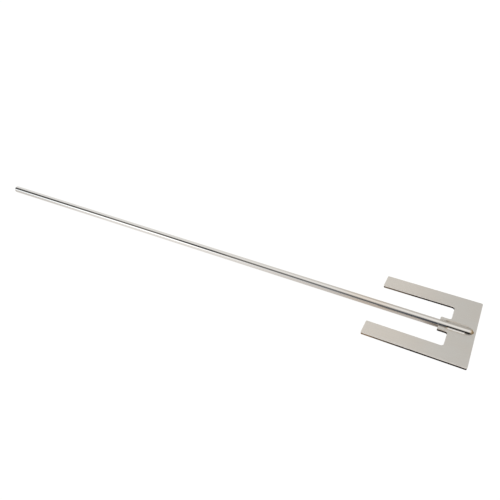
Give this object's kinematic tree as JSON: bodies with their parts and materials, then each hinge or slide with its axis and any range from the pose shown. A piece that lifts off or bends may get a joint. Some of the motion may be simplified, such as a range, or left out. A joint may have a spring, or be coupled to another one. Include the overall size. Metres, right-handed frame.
{
  "type": "drill paint mixer",
  "caption": "Drill paint mixer: a long round polished steel shaft with a pointed end, and a flat forked steel blade welded into its slit end.",
  "frame": {"origin": "on the surface that the mixer lies on, under the middle of its box", "axes": "+X along the shaft from the chuck end to the blade's bottom edge, +Y across the blade, +Z normal to the blade"},
  "size_m": [0.598, 0.0926, 0.008],
  "materials": {
    "shaft_steel": "polished drawn bar",
    "blade_steel": "satin plate with dark laser-cut edges",
    "weld_metal": "smooth bright weld with straw-coloured heat tint"
  },
  "bodies": {
    "root": {"shaft": "shaft_steel", "blade": "blade_steel", "weld_top_left": "weld_metal", "weld_top_right": "weld_metal", "weld_bottom_left": "weld_metal", "weld_bottom_right": "weld_metal"}
  },
  "joints": []
}
